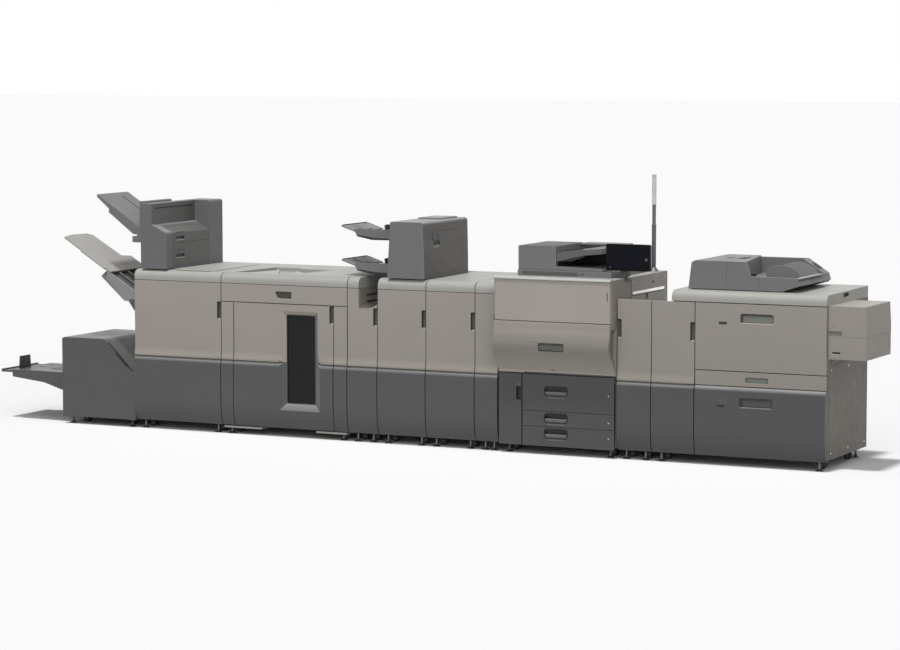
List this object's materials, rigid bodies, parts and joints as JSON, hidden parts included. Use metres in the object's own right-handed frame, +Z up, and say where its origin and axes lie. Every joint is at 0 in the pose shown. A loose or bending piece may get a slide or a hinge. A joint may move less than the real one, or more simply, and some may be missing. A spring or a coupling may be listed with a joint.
{
  "type": "digital production printer",
  "caption": "Sheet-fed digital production press line: a print engine with large paper feeders on the right and stacking, inserting, finishing and trimming units on the left.",
  "frame": {"origin": "centre of the whole line's footprint, on the floor", "axes": "+X along the line to the paper feeders' end, +Y to the rear, +Z up; the doors and drawers face -Y"},
  "size_m": [5.8524, 0.891, 1.632],
  "materials": {
    "cream_cover": "fine-grained moulded cover, satin",
    "pale_lid": "satin moulded lid",
    "dark_cover": "dark grey moulded cover, satin",
    "carcass_grey": "satin side panel",
    "box_grey": "mid grey moulded cover, satin",
    "black_tray": "black moulded tray",
    "pale_plate": "pale moulded plate",
    "smoked_window": "smoked clear pane",
    "platen_glass": "clear plate glass",
    "table_metal": "grey coated sheet",
    "toner_black": "black moulded cartridge",
    "panel_black": "black glossy bezel",
    "pole_grey": "grey pole",
    "lamp_white": "clear white lens",
    "foot_steel": "bright plated steel",
    "caster_rubber": "black tread"
  },
  "bodies": {
    "press_line": {"trimmer_housing": "dark_cover", "trimmer_delivery_tray": "dark_cover", "finisher_cabinet": "carcass_grey", "cover_feeder_housing": "box_grey", "cover_feeder_tray": "box_grey", "stacker_cabinet": "carcass_grey", "relay_cabinets": "carcass_grey", "top_lids": "pale_lid", "interposer_tower": "box_grey", "interposer_upper_tray": "black_tray", "interposer_lower_tray": "black_tray", "engine_cabinet": "carcass_grey", "toner_bottles": "toner_black", "imaging_units": "toner_black", "scanner_top": "box_grey", "platen_glass": "platen_glass", "signal_tower_pole": "pole_grey", "signal_tower_lamps": "lamp_white", "feeder_cabinet": "carcass_grey", "feeder_lid": "pale_lid", "top_feeder_housing": "box_grey", "bypass_housing": "cream_cover", "levelling_feet": "foot_steel", "casters": "caster_rubber"},
    "stacker_door": {"stacker_door": "cream_cover", "stacker_window": "smoked_window"},
    "trimmer_front_door": {"trimmer_front_door": "dark_cover"},
    "trimmer_tray_extension": {"trimmer_tray_extension": "dark_cover"},
    "trimmer_stop_fence": {"trimmer_stop_fence": "black_tray"},
    "finisher_door": {"finisher_door": "cream_cover"},
    "shift_tray": {"shift_tray": "box_grey"},
    "shift_tray_extension": {"shift_tray_extension": "pale_plate"},
    "cover_feeder_upper_cover": {"cover_feeder_upper_cover": "box_grey"},
    "cover_feeder_lower_cover": {"cover_feeder_lower_cover": "box_grey"},
    "stacker_top_flap": {"stacker_top_flap": "cream_cover"},
    "stack_table": {"stack_table": "table_metal"},
    "decurler_door": {"decurler_door": "cream_cover"},
    "interposer_base_door": {"interposer_base_door": "cream_cover"},
    "interposer_side_door": {"interposer_side_door": "box_grey"},
    "interposer_upper_extension": {"interposer_upper_extension": "black_tray"},
    "interposer_lower_extension": {"interposer_lower_extension": "black_tray"},
    "buffer_door": {"buffer_door": "cream_cover"},
    "bridge_door": {"bridge_door": "cream_cover"},
    "engine_upper_cover": {"engine_upper_cover": "cream_cover"},
    "engine_front_cover": {"engine_front_cover": "cream_cover"},
    "waste_box_door": {"waste_box_door": "dark_cover"},
    "paper_drawer_1": {"paper_drawer_1": "dark_cover"},
    "paper_drawer_2": {"paper_drawer_2": "dark_cover"},
    "paper_drawer_3": {"paper_drawer_3": "dark_cover"},
    "document_feeder": {"document_feeder": "box_grey"},
    "document_feeder_tray": {"document_feeder_tray": "black_tray"},
    "control_panel_arm": {"control_panel_arm": "box_grey"},
    "control_panel": {"control_panel": "panel_black"},
    "relay_door": {"relay_door": "cream_cover"},
    "feeder_left_door": {"feeder_left_door": "cream_cover"},
    "upper_feed_drawer": {"upper_feed_drawer": "cream_cover"},
    "feeder_flap": {"feeder_flap": "cream_cover"},
    "lower_feed_drawer": {"lower_feed_drawer": "dark_cover"},
    "top_feeder_fence": {"top_feeder_fence": "box_grey"},
    "bypass_cover": {"bypass_cover": "cream_cover"}
  },
  "joints": [
    {"name": "trimmer_front_door_hinge", "type": "hinge", "parent": "press_line", "child": "trimmer_front_door", "pos_m": [-2.42015, -0.3408, 0.3005], "axis": [0, 0, -1], "range_deg": [0, 95]},
    {"name": "trimmer_tray_extension_slide", "type": "slide", "parent": "press_line", "child": "trimmer_tray_extension", "axis": [-1, 0, 0], "range_m": [0, 0.12]},
    {"name": "trimmer_stop_fence_hinge", "type": "hinge", "parent": "press_line", "child": "trimmer_stop_fence", "pos_m": [-2.82515, -0.1695, 0.32105], "axis": [0, -1, 0], "range_deg": [0, 90]},
    {"name": "finisher_door_hinge", "type": "hinge", "parent": "press_line", "child": "finisher_door", "pos_m": [-1.87235, -0.3528, 0.4965], "axis": [0, 0, -1], "range_deg": [0, 95]},
    {"name": "shift_tray_slide", "type": "slide", "parent": "press_line", "child": "shift_tray", "axis": [0, 0, -1], "range_m": [0, 0.2]},
    {"name": "shift_tray_extension_slide", "type": "slide", "parent": "shift_tray", "child": "shift_tray_extension", "axis": [0.8517, 0, -0.524], "range_m": [0, 0.12]},
    {"name": "cover_feeder_upper_cover_hinge", "type": "hinge", "parent": "press_line", "child": "cover_feeder_upper_cover", "pos_m": [-1.73225, -0.03015, 1.27911], "axis": [0, -1, 0], "range_deg": [0, 50]},
    {"name": "cover_feeder_lower_cover_hinge", "type": "hinge", "parent": "press_line", "child": "cover_feeder_lower_cover", "pos_m": [-1.64185, -0.03015, 1.0253], "axis": [0, 1, 0], "range_deg": [0, 90]},
    {"name": "stacker_top_flap_hinge", "type": "hinge", "parent": "press_line", "child": "stacker_top_flap", "pos_m": [-0.80035, -0.3405, 0.828], "axis": [1, 0, 0], "range_deg": [0, 85]},
    {"name": "stacker_door_hinge", "type": "hinge", "parent": "press_line", "child": "stacker_door", "pos_m": [-1.15135, -0.3528, 0.4465], "axis": [0, 0, -1], "range_deg": [0, 95]},
    {"name": "stack_table_slide", "type": "slide", "parent": "press_line", "child": "stack_table", "axis": [0, 0, 1], "range_m": [0, 0.55]},
    {"name": "decurler_door_hinge", "type": "hinge", "parent": "press_line", "child": "decurler_door", "pos_m": [-0.35435, -0.3528, 0.4965], "axis": [0, 0, -1], "range_deg": [0, 95]},
    {"name": "interposer_base_door_hinge", "type": "hinge", "parent": "press_line", "child": "interposer_base_door", "pos_m": [-0.14835, -0.3528, 0.4965], "axis": [0, 0, -1], "range_deg": [0, 95]},
    {"name": "interposer_side_door_hinge", "type": "hinge", "parent": "press_line", "child": "interposer_side_door", "pos_m": [0.16545, 0.20005, 1.1565], "axis": [0, 0, 1], "range_deg": [0, 100]},
    {"name": "interposer_upper_extension_slide", "type": "slide", "parent": "press_line", "child": "interposer_upper_extension", "axis": [-1, 0, 0], "range_m": [0, 0.07]},
    {"name": "interposer_lower_extension_slide", "type": "slide", "parent": "press_line", "child": "interposer_lower_extension", "axis": [-1, 0, 0], "range_m": [0, 0.07]},
    {"name": "buffer_door_hinge", "type": "hinge", "parent": "press_line", "child": "buffer_door", "pos_m": [0.17865, -0.3528, 0.4965], "axis": [0, 0, -1], "range_deg": [0, 95]},
    {"name": "bridge_door_hinge", "type": "hinge", "parent": "press_line", "child": "bridge_door", "pos_m": [0.50565, -0.3528, 0.4965], "axis": [0, 0, -1], "range_deg": [0, 95]},
    {"name": "engine_upper_cover_hinge", "type": "hinge", "parent": "press_line", "child": "engine_upper_cover", "pos_m": [1.03815, -0.4255, 0.7973], "axis": [1, 0, 0], "range_deg": [0, 90]},
    {"name": "engine_front_cover_hinge", "type": "hinge", "parent": "press_line", "child": "engine_front_cover", "pos_m": [1.03815, -0.3528, 0.482], "axis": [1, 0, 0], "range_deg": [0, 55]},
    {"name": "waste_box_door_hinge", "type": "hinge", "parent": "press_line", "child": "waste_box_door", "pos_m": [0.66615, -0.3528, 0.2685], "axis": [0, 0, -1], "range_deg": [0, 95]},
    {"name": "paper_drawer_1_slide", "type": "slide", "parent": "press_line", "child": "paper_drawer_1", "axis": [0, -1, 0], "range_m": [0, 0.45]},
    {"name": "paper_drawer_2_slide", "type": "slide", "parent": "press_line", "child": "paper_drawer_2", "axis": [0, -1, 0], "range_m": [0, 0.45]},
    {"name": "paper_drawer_3_slide", "type": "slide", "parent": "press_line", "child": "paper_drawer_3", "axis": [0, -1, 0], "range_m": [0, 0.45]},
    {"name": "document_feeder_hinge", "type": "hinge", "parent": "press_line", "child": "document_feeder", "pos_m": [1.01715, 0.2635, 1.0843], "axis": [-1, 0, 0], "range_deg": [0, 65]},
    {"name": "document_feeder_tray_hinge", "type": "hinge", "parent": "document_feeder", "child": "document_feeder_tray", "pos_m": [0.99045, -0.0525, 1.1872], "axis": [0, -1, 0], "range_deg": [0, 35]},
    {"name": "control_panel_swivel", "type": "hinge", "parent": "press_line", "child": "control_panel_arm", "pos_m": [1.38815, -0.1993, 1.0503], "axis": [0, 0, 1], "range_deg": [-15, 30]},
    {"name": "control_panel_tilt", "type": "hinge", "parent": "control_panel_arm", "child": "control_panel", "pos_m": [1.41315, -0.2085, 1.108], "axis": [-1, 0, 0], "range_deg": [0, 40]},
    {"name": "relay_door_hinge", "type": "hinge", "parent": "press_line", "child": "relay_door", "pos_m": [1.63365, -0.3528, 0.4965], "axis": [0, 0, 1], "range_deg": [0, 90]},
    {"name": "feeder_left_door_hinge", "type": "hinge", "parent": "press_line", "child": "feeder_left_door", "pos_m": [1.63865, -0.3528, 0.4965], "axis": [0, 0, -1], "range_deg": [0, 90]},
    {"name": "upper_feed_drawer_slide", "type": "slide", "parent": "press_line", "child": "upper_feed_drawer", "axis": [0, -1, 0], "range_m": [0, 0.5]},
    {"name": "feeder_flap_hinge", "type": "hinge", "parent": "press_line", "child": "feeder_flap", "pos_m": [2.30215, -0.3405, 0.4655], "axis": [1, 0, 0], "range_deg": [0, 85]},
    {"name": "lower_feed_drawer_slide", "type": "slide", "parent": "press_line", "child": "lower_feed_drawer", "axis": [0, -1, 0], "range_m": [0, 0.5]},
    {"name": "top_feeder_fence_slide", "type": "slide", "parent": "press_line", "child": "top_feeder_fence", "axis": [0, 1, 0], "range_m": [-0.08, 0.12]},
    {"name": "bypass_cover_hinge", "type": "hinge", "parent": "press_line", "child": "bypass_cover", "pos_m": [2.81265, 0.1245, 0.77107], "axis": [-1, 0, 0], "range_deg": [0, 60]}
  ]
}
